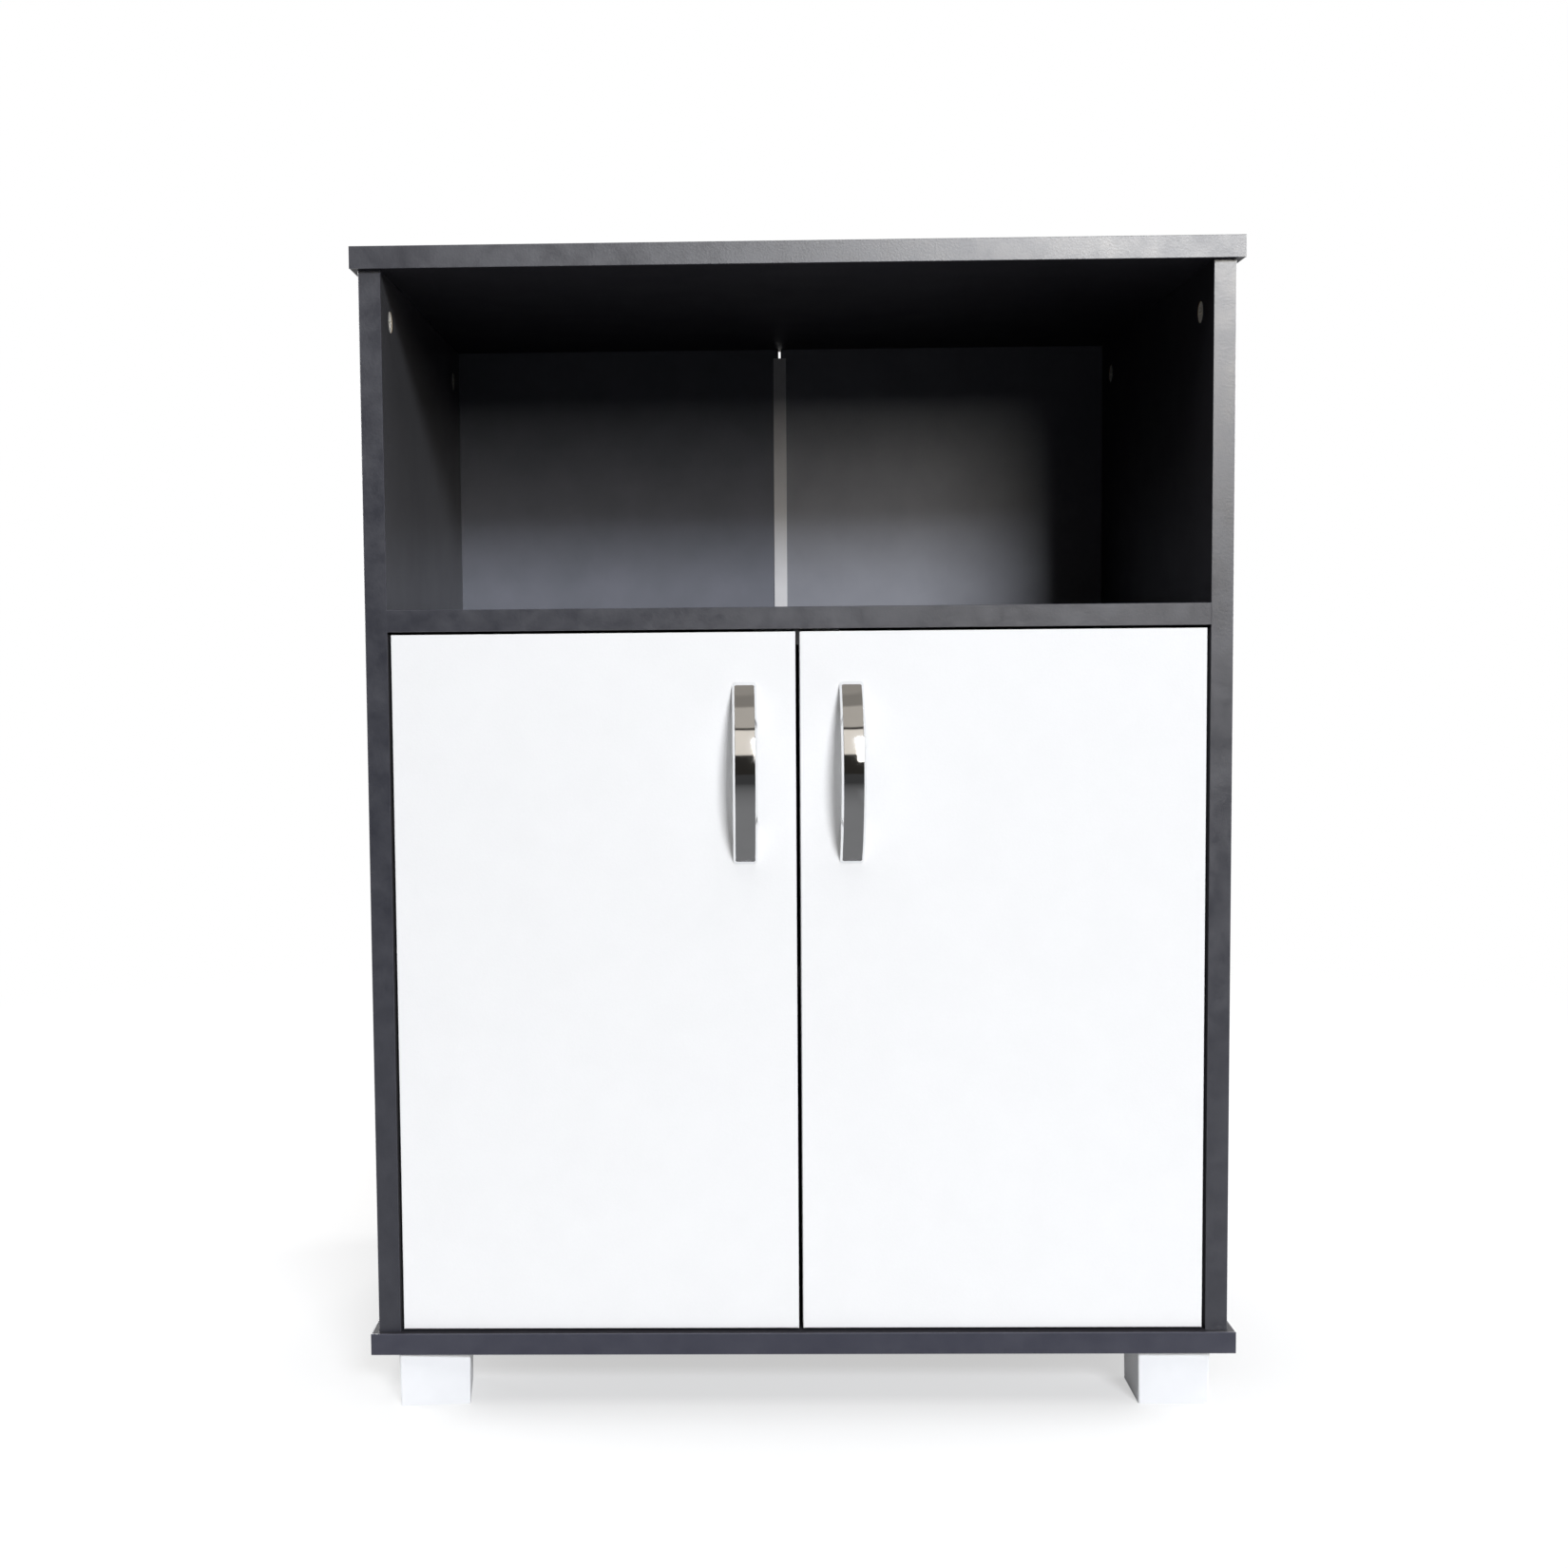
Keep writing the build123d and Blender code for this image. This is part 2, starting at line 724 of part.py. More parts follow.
def hinge_cup(z):
    """A cup let into the door's back, with a flange, two ears and the hole of its pin."""
    centre = cup_centre(z)
    inside_radius = cup_radius - cup_wall
    shell = rod(centre, FORWARD, cup_depth, cup_radius)
    disc = rod(centre, BACKWARD, cup_flange_thickness, cup_radius + cup_flange_margin)
    wing_x = centre[0] + cup_screw_offset
    half_width_of_wing = cup_wing_width / 2
    wing = block(
        wing_x - half_width_of_wing,
        wing_x + half_width_of_wing,
        door_back,
        door_back + cup_flange_thickness,
        z - cup_wing_length / 2,
        z + cup_wing_length / 2,
    )
    wing = fillet(wing.edges().filter_by(Axis.Y), cup_wing_radius)
    hollow_depth = cup_depth - cup_wall
    hollow = rod(
        stepped(centre, BACKWARD, cup_flange_thickness),
        FORWARD,
        hollow_depth + cup_flange_thickness,
        inside_radius,
    )
    pin_x = -inner + pin_u
    pin_y = front + hinge_pin_depth
    ear_start = arm_hook_half_width + cup_ear_gap
    ears = block(
        centre[0] - inside_radius,
        pin_x + cup_ear_reach,
        door_back - cup_depth,
        pin_y + cup_ear_height,
        z - inside_radius,
        z + inside_radius,
    ) & rod(centre, FORWARD, cup_depth, inside_radius + cup_wall / 2)
    slot = block(
        centre[0] - inside_radius - cup_wall,
        centre[0] + inside_radius,
        door_back - hollow_depth,
        door_back,
        z - ear_start,
        z + ear_start,
    ) & hollow
    cup = shell + disc + wing - hollow + (ears - slot)
    pin_start = (pin_x, pin_y, z - hinge_pin_half_length)
    cup -= rod(pin_start, UP, 2 * hinge_pin_half_length, hinge_pin_radius + fit_clearance / 2)
    cuts = [countersunk_hole(place, FORWARD, short_screw_length) for place in cup_screw_places()]
    return cup - cuts


def hinge_pin(z):
    start = hinge_point(pin_u, front + hinge_pin_depth, z - hinge_pin_half_length)
    return rod(start, UP, 2 * hinge_pin_half_length, hinge_pin_radius)


def hinge_arm(z):
    """A goose-neck arm: a knuckle on the pin, a hook round the door's edge and a channel."""
    knuckle_radius = hinge_pin_radius + hinge_running_clearance + arm_knuckle_wall
    pin_y = front + hinge_pin_depth
    flange_face = door_back + cup_flange_thickness
    hook_in = pin_u + flange_face - pin_y + arm_door_clearance
    hook_out = hook_in + arm_sheet
    corner_swing = math.hypot(hinge_pin_inset, door_thickness - hinge_pin_depth)
    neck_front = pin_y + corner_swing + arm_corner_clearance
    neck_rear = neck_front + arm_sheet
    low_front = pin_y - knuckle_radius
    web_in = plate_thickness + plate_rib_height
    web_out = web_in + arm_sheet
    tail = front + arm_flange_front
    corners = [
        (pin_u, low_front),
        (hook_out, low_front),
        (hook_out, neck_rear),
        (web_out, neck_rear),
        (web_out, tail),
        (web_in, tail),
        (web_in, neck_front),
        (hook_in, neck_front),
        (hook_in, low_front + arm_sheet),
        (pin_u, low_front + arm_sheet),
    ]
    sheet = make_face(Polyline(*corners, close=True))
    outside = [corners[1], corners[2], corners[6]]
    inside = [corners[3], corners[7], corners[8]]
    for chosen, radius in ((outside, arm_bend_radius + arm_sheet), (inside, arm_bend_radius)):
        bends = [
            vertex
            for vertex in sheet.vertices()
            if any(math.hypot(vertex.X - x, vertex.Y - y) < fit_clearance for x, y in chosen)
        ]
        sheet = fillet(bends, radius)
    hook = Pos(-inner, 0, z - arm_hook_half_width) * extrude(sheet, 2 * arm_hook_half_width, dir=UP)
    pin_foot = hinge_point(pin_u, pin_y, z - arm_hook_half_width)
    hook += rod(pin_foot, UP, 2 * arm_hook_half_width, knuckle_radius)
    arm_end = front + arm_rear
    flange_in = plate_thickness + arm_flange_foot_gap
    web = block(
        -inner + web_in, -inner + web_out, tail, arm_end, z - arm_web_half_width, z + arm_web_half_width
    )
    upper = block(
        -inner + flange_in,
        -inner + web_in,
        tail,
        arm_end,
        z + arm_web_half_width - arm_flange_thickness,
        z + arm_web_half_width,
    )
    lower = Pos(0, 0, arm_flange_thickness - 2 * arm_web_half_width) * upper
    arm = hook + web + upper + lower
    arm -= rod(pin_foot, UP, 2 * arm_hook_half_width, hinge_pin_radius + hinge_running_clearance)
    screw_hole = arm_screw_radius + arm_screw_hole_clearance
    return arm - rod(arm_screw_place(z), LEFT, arm_sheet, screw_hole)


def arm_screw_place(z):
    """Where the screw that holds an arm on its plate passes through the arm's web."""
    return hinge_point(plate_thickness + plate_rib_height + arm_sheet, front + arm_screw_offset, z)


def plate_screw_places():
    """Where the screws of the left mounting plates start, on the wings' faces."""
    half = plate_screw_spacing / 2
    y = front + plate_wing_offset
    return [hinge_point(plate_thickness, y, z + offset) for z in hinge_heights for offset in (-half, half)]


def mounting_plate(z):
    """A cross-shaped plate on the side panel, with the rib that the arm lies over."""
    rib_half = arm_web_half_width - arm_flange_thickness - plate_rib_clearance
    y0, y1 = front + plate_front, front + plate_rear
    rib = block(-inner, -inner + plate_thickness + plate_rib_height, y0, y1, z - rib_half, z + rib_half)
    wing_y = front + plate_wing_offset
    wings = block(
        -inner,
        -inner + plate_thickness,
        wing_y - plate_wing_width / 2,
        wing_y + plate_wing_width / 2,
        z - plate_wing_half_length,
        z + plate_wing_half_length,
    )
    wings = fillet(wings.edges().filter_by(Axis.X), plate_wing_corner_radius)
    plate = rib + wings
    plate -= [countersunk_hole(place, LEFT, short_screw_length) for place in plate_screw_places()]
    hole_depth = arm_screw_length + hole_end_clearance
    return plate - rod(arm_screw_place(z), LEFT, hole_depth, arm_screw_radius + fit_clearance)


# Twin magnetic catch under the middle shelf, and the strike plates on the doors


def catch_screw_places():
    """Where the catch's two screws start, on the underside of its housing."""
    x = catch_length / 2 - catch_screw_from_end
    y = catch_front + catch_depth / 2
    return [(-x, y, catch_under), (x, y, catch_under)]


def pocket_span():
    """The X range of the left magnet pocket."""
    return -catch_pocket_start - catch_pocket_width, -catch_pocket_start


def catch_housing():
    half = catch_length / 2
    body = block(-half, half, catch_front, catch_front + catch_depth, catch_under, shelf_under)
    body = fillet(body.edges().filter_by(Axis.Z), catch_corner_radius)
    x0, x1 = pocket_span()
    z0 = catch_under + catch_floor
    z1 = z0 + 2 * pole_thickness + magnet_height
    pockets = both_sides([block(x0, x1, catch_front, catch_front + catch_pocket_depth, z0, z1)])
    screw_holes = [countersunk_hole(place, UP, short_screw_length) for place in catch_screw_places()]
    return body - pockets - screw_holes


def catch_magnets():
    x0, x1 = pocket_span()
    z0 = catch_under + catch_floor + pole_thickness
    y1 = catch_front + catch_pocket_depth
    return group(both_sides([block(x0, x1, catch_front + magnet_setback, y1, z0, z0 + magnet_height)]))


def catch_pole_plates():
    """Four steel plates, above and below each magnet, that stand out towards the strikes."""
    x0, x1 = pocket_span()
    y0, y1 = catch_front - pole_protrusion, catch_front + catch_pocket_depth
    low = catch_under + catch_floor
    high = low + pole_thickness + magnet_height
    plates = [block(x0, x1, y0, y1, z, z + pole_thickness) for z in (low, high)]
    return group(both_sides(plates))


def left_strike_plate():
    x0 = -catch_pocket_start - strike_width
    z1 = door_high - strike_top_margin
    y1 = door_back + strike_thickness
    plate = block(x0, -catch_pocket_start, door_back, y1, z1 - strike_height, z1)
    plate = fillet(plate.edges().filter_by(Axis.Y), strike_corner_radius)
    return plate - countersunk_hole(strike_screw_place(), FORWARD, short_screw_length)


def short_screws(places, along):
    """A countersunk screw at each place."""
    return [countersunk_screw(place, along, short_screw_length) for place in places]


def arm_screws():
    """The screws that hold the left arms on their plates."""
    places = [arm_screw_place(z) for z in hinge_heights]
    return [pan_screw(place, LEFT, arm_screw_length, arm_screw_radius, False) for place in places]


def build():
    """Every node of the cabinet by name."""
    nodes = {
        "top_panel": top_panel(),
        "bottom_panel": bottom_panel(),
        "middle_shelf": middle_shelf(),
        "inner_shelf": inner_shelf(),
        "back_joining_strip": back_joining_strip(),
        "top_edge_bands": panel_bands(top_under, overall_height),
        "bottom_edge_bands": panel_bands(bottom_under, bottom_top),
        "middle_shelf_edge_band": front_band(-inner, inner, front, shelf_under, shelf_top, Axis.X),
        "inner_shelf_edge_band": front_band(
            -inner + inner_shelf_side_gap,
            inner - inner_shelf_side_gap,
            front + inner_shelf_setback,
            inner_shelf_under,
            inner_shelf_under + board,
            Axis.X,
        ),
        "top_cam_locks": corner_cam_locks(top_under - cam_distance, UP),
        "bottom_cam_locks": corner_cam_locks(bottom_top + cam_distance, DOWN),
        "middle_shelf_cam_locks": shelf_cam_locks(),
        "top_cam_bolts": corner_cam_bolts(top_under, DOWN),
        "bottom_cam_bolts": corner_cam_bolts(bottom_top, UP),
        "middle_shelf_cam_bolts": shelf_cam_bolts(),
        "wooden_dowels": wooden_dowels(),
        "shelf_pins": shelf_pins(),
        "foot_screws": foot_screws(),
        "hinge_arm_screws": group(both_sides(arm_screws())),
        "mounting_plate_screws": group(both_sides(short_screws(plate_screw_places(), LEFT))),
        "catch_housing": catch_housing(),
        "catch_magnets": catch_magnets(),
        "catch_pole_plates": catch_pole_plates(),
        "catch_screws": group(short_screws(catch_screw_places(), UP)),
    }
    handed = {
        "side_panel": left_side_panel(),
        "side_edge_band": front_band(-outer, -inner, front, bottom_top, top_under, Axis.Z),
        "back_board": left_back_board(),
        "door": left_door(),
        "door_edge_bands": left_door_bands(),
        "handle": left_handle(),
        "handle_screws": left_handle_screws(),
        "hinge_cups": group([hinge_cup(z) for z in hinge_heights]),
        "hinge_pins": group([hinge_pin(z) for z in hinge_heights]),
        "hinge_arms": group([hinge_arm(z) for z in hinge_heights]),
        "mounting_plates": group([mounting_plate(z) for z in hinge_heights]),
        "cup_screws": group(short_screws(cup_screw_places(), FORWARD)),
        "strike_plate": left_strike_plate(),
        "strike_screw": group(short_screws([strike_screw_place()], FORWARD)),
    }
    for name, shape in handed.items():
        nodes["left_" + name] = shape
        nodes["right_" + name] = mirrored(shape)
    return {**nodes, **feet()}


os.makedirs("parts", exist_ok=True)
for node_name, node_shape in build().items():
    export_step(node_shape, "parts/" + node_name + ".step")
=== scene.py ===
import json
import math

import bmesh
import bpy
from mathutils import Matrix, Vector


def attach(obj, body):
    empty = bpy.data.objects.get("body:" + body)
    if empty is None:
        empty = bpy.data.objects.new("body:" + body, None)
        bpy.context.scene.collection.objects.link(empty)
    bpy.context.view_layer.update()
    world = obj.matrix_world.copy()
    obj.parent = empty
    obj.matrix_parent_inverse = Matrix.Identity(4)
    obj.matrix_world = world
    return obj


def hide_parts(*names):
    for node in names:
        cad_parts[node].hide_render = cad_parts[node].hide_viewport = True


# A free-standing kitchen base cabinet: an open compartment over a cupboard with two white doors.
# Lengths are in metres unless a name or a comment says millimetres. X runs along the width, Y from
# the front to the back and Z up.
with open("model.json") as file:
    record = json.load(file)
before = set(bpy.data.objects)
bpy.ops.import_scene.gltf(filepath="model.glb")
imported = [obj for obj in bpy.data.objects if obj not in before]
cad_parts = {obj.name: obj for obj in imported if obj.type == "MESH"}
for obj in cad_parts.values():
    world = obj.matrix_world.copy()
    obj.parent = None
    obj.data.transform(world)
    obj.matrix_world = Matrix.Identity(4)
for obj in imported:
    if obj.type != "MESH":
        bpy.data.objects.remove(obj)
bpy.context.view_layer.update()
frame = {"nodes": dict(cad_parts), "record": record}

MM = 0.001
ACROSS_X, ACROSS_Y, ACROSS_Z = (1.0, 0.0, 0.0), (0.0, 1.0, 0.0), (0.0, 0.0, 1.0)
# The part of its range that a noise texture mostly keeps to.
NOISE_RANGE = {"From Min": 0.3, "From Max": 0.7}
# A face looks along an axis when its normal reaches this far along it.
STRAIGHT = 0.9


# Finishes


def linear(code, alpha=True):
    """An sRGB hex colour as linear red, green, blue and alpha."""
    channels = [int(code[i : i + 2], 16) / 255 for i in (0, 2, 4)]
    colour = [c / 12.92 if c <= 0.04045 else ((c + 0.055) / 1.055) ** 2.4 for c in channels]
    return colour + [1.0] if alpha else colour


def per_mm(size):
    """The texture scale at which a feature is this many millimetres wide."""
    return 1.0 / (size * MM)


def add(tree, kind, inputs=None, out=0, **settings):
    """Add a node, make its settings, fill its sockets with values, hex colours or links, and give
    one of its outputs."""
    made = tree.nodes.new("ShaderNode" + kind)
    for name, value in settings.items():
        setattr(made, name, value)
    for name, value in (inputs or {}).items():
        if isinstance(value, bpy.types.NodeSocket):
            tree.links.new(value, made.inputs[name])
        else:
            made.inputs[name].default_value = linear(value) if isinstance(value, str) else value
    return made.outputs[out] if len(made.outputs) else made


def bare_material(name):
    """A material with nothing in it yet, and its node tree."""
    material = bpy.data.materials.new(name)
    material.use_nodes = True
    material.node_tree.nodes.clear()
    return material, material.node_tree


def board_finish(name, axis, colour, shade, roughness, gloss=0.5, sheen=0.0):
    """Melamine-faced particle board. Both faces have the pressed satin melamine paper, whose finest
    texture can catch raking light as a sheen. The cut edges and bores show the core's pale wood
    flakes, which lie flat between the faces."""
    material, tree = bare_material(name)
    place = add(tree, "TexCoord", out="Object")
    normal = add(tree, "TexCoord", out="Normal")
    along = add(tree, "VectorMath", {0: normal, 1: axis}, "Value", operation="DOT_PRODUCT")
    square = add(tree, "Math", {0: along}, operation="ABSOLUTE")
    face = add(tree, "Math", {0: square, 1: 0.5}, operation="GREATER_THAN")
    # The faint cloudiness of the printed paper, 25 mm wide, under a 2 mm fleck.
    cloud = add(tree, "TexNoise", {"Vector": place, "Scale": per_mm(25.0), "Detail": 4.0})
    fleck = add(tree, "TexNoise", {"Vector": place, "Scale": per_mm(2.0)})
    fleck_share = 0.4
    mottle = add(tree, "Mix", {0: fleck_share, 2: cloud, 3: fleck})
    mottle = add(tree, "MapRange", {"Value": mottle, "From Min": 0.35, "From Max": 0.65})
    face_colour = add(tree, "Mix", {0: mottle, 6: colour, 7: shade}, 2, data_type="RGBA")
    # Flakes 2.5 mm long, pressed to a third of that through the board.
    squeeze = [1.0 + 2.0 * a for a in axis]
    pressed = add(tree, "Mapping", {"Vector": place, "Scale": squeeze})
    flakes = add(tree, "TexVoronoi", {"Vector": pressed, "Scale": per_mm(2.5)}, "Color")
    flake = add(tree, "RGBToBW", {"Color": flakes})
    core_colour = add(tree, "Mix", {0: flake, 6: "8f7350", 7: "cdb38a"}, 2, data_type="RGBA")
    seen_colour = add(tree, "Mix", {0: face, 6: core_colour, 7: face_colour}, 2, data_type="RGBA")
    # Handling leaves the paper's gloss a little uneven, in wiped streaks about 60 mm long.
    wiped = add(tree, "TexNoise", {"Vector": place, "Scale": per_mm(60.0), "Roughness": 0.6})
    uneven, core_roughness = 0.022, 0.85
    least, most = roughness - uneven, roughness + uneven
    wiped = add(
        tree, "MapRange", {"Value": wiped, **NOISE_RANGE, "To Min": least, "To Max": most}
    )
    # The press plate's fine grain is 0.3 mm on the real board and is drawn 1.2 mm wide to show.
    grain = add(tree, "TexNoise", {"Vector": place, "Scale": per_mm(1.2)})
    height = add(tree, "Mix", {0: face, 2: flake, 3: grain})
    shader = add(
        tree,
        "BsdfPrincipled",
        {
            "Base Color": seen_colour,
            "Roughness": add(tree, "Mix", {0: face, 2: core_roughness, 3: wiped}),
            "IOR": 1.5,
            "Specular IOR Level": gloss,
            "Sheen Weight": sheen,
            "Normal": add(tree, "Bump", {"Height": height, "Distance": 0.05 * MM}),
        },
    )
    add(tree, "OutputMaterial", {"Surface": shader})
    return material


def edging_finish(name, colour, scraped, roughness, gloss):
    """ABS edging, extruded and glued on, then trimmed. Its face is satin with hand smears, and the
    scraper leaves the trimmed slopes along it a little paler."""
    material, tree = bare_material(name)
    place = add(tree, "TexCoord", out="Object")
    normal = add(tree, "TexCoord", out="Normal")
    turned = add(tree, "VectorMath", {0: normal}, operation="ABSOLUTE")
    x, y, z = add(tree, "SeparateXYZ", {"Vector": turned}).node.outputs
    larger = add(tree, "Math", {0: x, 1: y}, operation="MAXIMUM")
    largest = add(tree, "Math", {0: larger, 1: z}, operation="MAXIMUM")
    slope = add(tree, "Math", {0: largest, 1: STRAIGHT}, operation="LESS_THAN")
    # Smears some 18 mm wide, and under them a fine grain 1.5 mm wide.
    smear = {"Vector": place, "Scale": per_mm(18.0), "Detail": 5.0, "Roughness": 0.65}
    smear = add(tree, "TexNoise", smear)
    palest = 0.25
    worn = {"Value": smear, "From Min": 0.35, "From Max": 0.7, "To Max": palest}
    worn = add(tree, "MapRange", worn)
    face_colour = add(tree, "Mix", {0: worn, 6: colour, 7: scraped}, 2, data_type="RGBA")
    least, most = roughness - 0.05, roughness + 0.07
    shine = add(
        tree, "MapRange", {"Value": smear, **NOISE_RANGE, "To Min": least, "To Max": most}
    )
    grain = add(tree, "TexNoise", {"Vector": place, "Scale": per_mm(1.5)})
    seen_colour = add(tree, "Mix", {0: slope, 6: face_colour, 7: scraped}, 2, data_type="RGBA")
    shader = add(
        tree,
        "BsdfPrincipled",
        {
            "Base Color": seen_colour,
            "Roughness": shine,
            "IOR": 1.53,
            "Specular IOR Level": gloss,
            "Normal": add(tree, "Bump", {"Height": grain, "Distance": 0.04 * MM}),
        },
    )
    add(tree, "OutputMaterial", {"Surface": shader})
    return material


def back_board_finish(name, colour, shade, roughness):
    """Hardboard 3 mm thick, lacquered grey on its front. The back is left as it comes, brown and
    matted with pressed fibres."""
    material, tree = bare_material(name)
    place = add(tree, "TexCoord", out="Object")
    normal = add(tree, "TexCoord", out="Normal")
    depth = add(tree, "SeparateXYZ", {"Vector": normal}, "Y")
    front = add(tree, "Math", {0: depth, 1: -0.5}, operation="LESS_THAN")
    # Fibres matted in clumps 3 mm wide show through the lacquer only as a faint orange peel.
    fibre = add(
        tree, "TexNoise", {"Vector": place, "Scale": per_mm(3.0), "Detail": 6.0, "Roughness": 0.75}
    )
    coat = add(tree, "TexNoise", {"Vector": place, "Scale": per_mm(40.0), "Detail": 4.0})
    coat = add(tree, "MapRange", {"Value": coat, **NOISE_RANGE})
    lacquer = add(tree, "Mix", {0: coat, 6: colour, 7: shade}, 2, data_type="RGBA")
    matted = add(tree, "MapRange", {"Value": fibre, "From Min": 0.32, "From Max": 0.68})
    brown = add(tree, "Mix", {0: matted, 6: "634628", 7: "a8865c"}, 2, data_type="RGBA")
    bare_relief, lacquered_relief, bare_roughness = 0.15, 0.04, 0.75
    relief = add(tree, "Mix", {0: front, 2: bare_relief, 3: lacquered_relief})
    height = add(tree, "Math", {0: fibre, 1: relief}, operation="MULTIPLY")
    shader = add(
        tree,
        "BsdfPrincipled",
        {
            "Base Color": add(tree, "Mix", {0: front, 6: brown, 7: lacquer}, 2, data_type="RGBA"),
            "Roughness": add(tree, "Mix", {0: front, 2: bare_roughness, 3: roughness}),
            "IOR": 1.5,
            "Normal": add(tree, "Bump", {"Height": height, "Distance": 1.0 * MM}),
        },
    )
    add(tree, "OutputMaterial", {"Surface": shader})
    return material


def plastic_finish(name, colour, shade, roughness, grain_width, gloss=0.5):
    """Moulded or extruded plastic, slightly clouded by its flow, with a fine mould grain of that
    width in millimetres."""
    material, tree = bare_material(name)
    place = add(tree, "TexCoord", out="Object")
    flow = add(tree, "TexNoise", {"Vector": place, "Scale": per_mm(22.0)})
    flow = add(tree, "MapRange", {"Value": flow, **NOISE_RANGE})
    grain = add(tree, "TexNoise", {"Vector": place, "Scale": per_mm(grain_width)})
    uneven = 0.04
    least, most = roughness - uneven, roughness + uneven
    shine = add(tree, "MapRange", {"Value": flow, "To Min": least, "To Max": most})
    shader = add(
        tree,
        "BsdfPrincipled",
        {
            "Base Color": add(tree, "Mix", {0: flow, 6: colour, 7: shade}, 2, data_type="RGBA"),
            "Roughness": shine,
            "IOR": 1.5,
            "Specular IOR Level": gloss,
            "Normal": add(tree, "Bump", {"Height": grain, "Distance": 0.03 * MM}),
        },
    )
    add(tree, "OutputMaterial", {"Surface": shader})
    return material


def metal_finish(
    name, colour, shade, roughness, blotch, stretch=(1.0, 1.0, 1.0), relief=0.01, detail=4.0
):
    """Bare or plated metal, blotched at that width in millimetres, or brushed by the stretch. The
    relief in millimetres makes what it reflects waver a little."""
    material, tree = bare_material(name)
    place = add(tree, "TexCoord", out="Object")
    place = add(tree, "Mapping", {"Vector": place, "Scale": stretch})
    cloud = {"Vector": place, "Scale": per_mm(blotch), "Detail": detail, "Roughness": 0.6}
    cloud = add(tree, "TexNoise", cloud)
    spread = add(tree, "MapRange", {"Value": cloud, **NOISE_RANGE})
    uneven = 0.2
    least, most = roughness * (1.0 - uneven), roughness * (1.0 + uneven)
    shine = add(tree, "MapRange", {"Value": spread, "To Min": least, "To Max": most})
    shader = add(
        tree,
        "BsdfPrincipled",
        {
            "Base Color": add(tree, "Mix", {0: spread, 6: colour, 7: shade}, 2, data_type="RGBA"),
            "Metallic": 1.0,
            "Roughness": shine,
            "Normal": add(tree, "Bump", {"Height": cloud, "Distance": relief * MM}),
        },
    )
    add(tree, "OutputMaterial", {"Surface": shader})
    return material


def beech_finish():
    """Beech, turned and fluted: pale pinkish wood with short dark rays along the dowel."""
    material, tree = bare_material("beech")
    place = add(tree, "TexCoord", out="Object")
    place = add(tree, "Mapping", {"Vector": place, "Scale": (0.15, 1.0, 1.0)})
    rays = add(tree, "TexNoise", {"Vector": place, "Scale": per_mm(1.5), "Roughness": 0.6})
    spread = add(tree, "MapRange", {"Value": rays, **NOISE_RANGE})
    wood = add(tree, "Mix", {0: spread, 6: "d9b98f", 7: "b88f62"}, 2, data_type="RGBA")
    shader = add(
        tree,
        "BsdfPrincipled",
        {
            "Base Color": wood,
            "Roughness": 0.6,
            "IOR": 1.5,
            "Normal": add(tree, "Bump", {"Height": rays, "Distance": 0.1 * MM}),
        },
    )
    add(tree, "OutputMaterial", {"Surface": shader})
    return material


finishes = {
    # Painted light: the left side panel's grey is lighter than the same board elsewhere, standing
    # in for the window's light on its inner face.
    "satin_lit_side": board_finish(
        "anthracite melamine, satin, painted lighter", ACROSS_X, "38373c", "3c3b40", 0.298, 0.6, 0.035
    ),
    "dull_side": board_finish("anthracite melamine, dull", ACROSS_X, "2e2d32", "333237", 0.5, 0.25),
    "anthracite_board": board_finish(
        "anthracite melamine", ACROSS_Z, "2e2d32", "333237", 0.55, 0.15
    ),
    "anthracite_edging": edging_finish("anthracite ABS edging", "303139", "4a4b53", 0.33, 0.9),
    "glossy_edging": edging_finish(
        "anthracite ABS edging, glossier", "303139", "4a4b53", 0.33, 1.0
    ),
    # Painted light: the bottom bands' edging is paler and bluer than the rest, standing in for the
    # light the floor throws up on them.
    "floor_lit_edging": edging_finish(
        "anthracite ABS edging, painted paler for floor light", "393a47", "4e4f5b", 0.33, 0.9
    ),
    "dark_back_board": back_board_finish("lacquered hardboard", "82848d", "8b8d96", 0.42),
    "dull_back_board": back_board_finish("lacquered hardboard, duller", "6b6e77", "747680", 0.66),
    "joining_strip": plastic_finish("white PVC strip", "dedddf", "e4e3e5", 0.4, 1.0),
    "white_door_board": board_finish(
        "white melamine board", ACROSS_Y, "f6f6f6", "f4f4f4", 0.5, 0.35
    ),
    "white_edging": edging_finish("white ABS edging", "f2f2f2", "f5f5f5", 0.36, 0.5),
    "chrome_handle": metal_finish(
        "chrome plate", "f4f5f6", "f1f2f3", 0.05, 12.0, relief=0.022, detail=1.0
    ),
    "white_foot": plastic_finish("white polypropylene", "f6f7f9", "f2f3f5", 0.45, 0.9, 0.25),
    "zinc_cam": metal_finish("die-cast zinc", "f8f6ef", "eeece4", 0.85, 2.0, relief=0.04),
    "zinc_plated_screw": metal_finish("zinc-plated steel", "c6c8c8", "b3b6b8", 0.22, 3.0),
    "nickel_hinge": metal_finish("nickel-plated steel", "cfcac1", "c0bab0", 0.22, 6.0),
    "steel_plate": metal_finish(
        "cold-rolled steel", "b9babb", "a6a7a9", 0.36, 0.5, (1.0, 1.0, 0.05)
    ),
    "beech_dowel": beech_finish(),
    "catch_plastic": plastic_finish("light grey ABS", "c6c7c9", "cdced0", 0.42, 0.8),
    "ferrite_magnet": plastic_finish("sintered ferrite", "232324", "2e2e2f", 0.6, 0.6),
}
slot_of = {part["node"]: part["material_slot"] for part in frame["record"]["subparts"]}
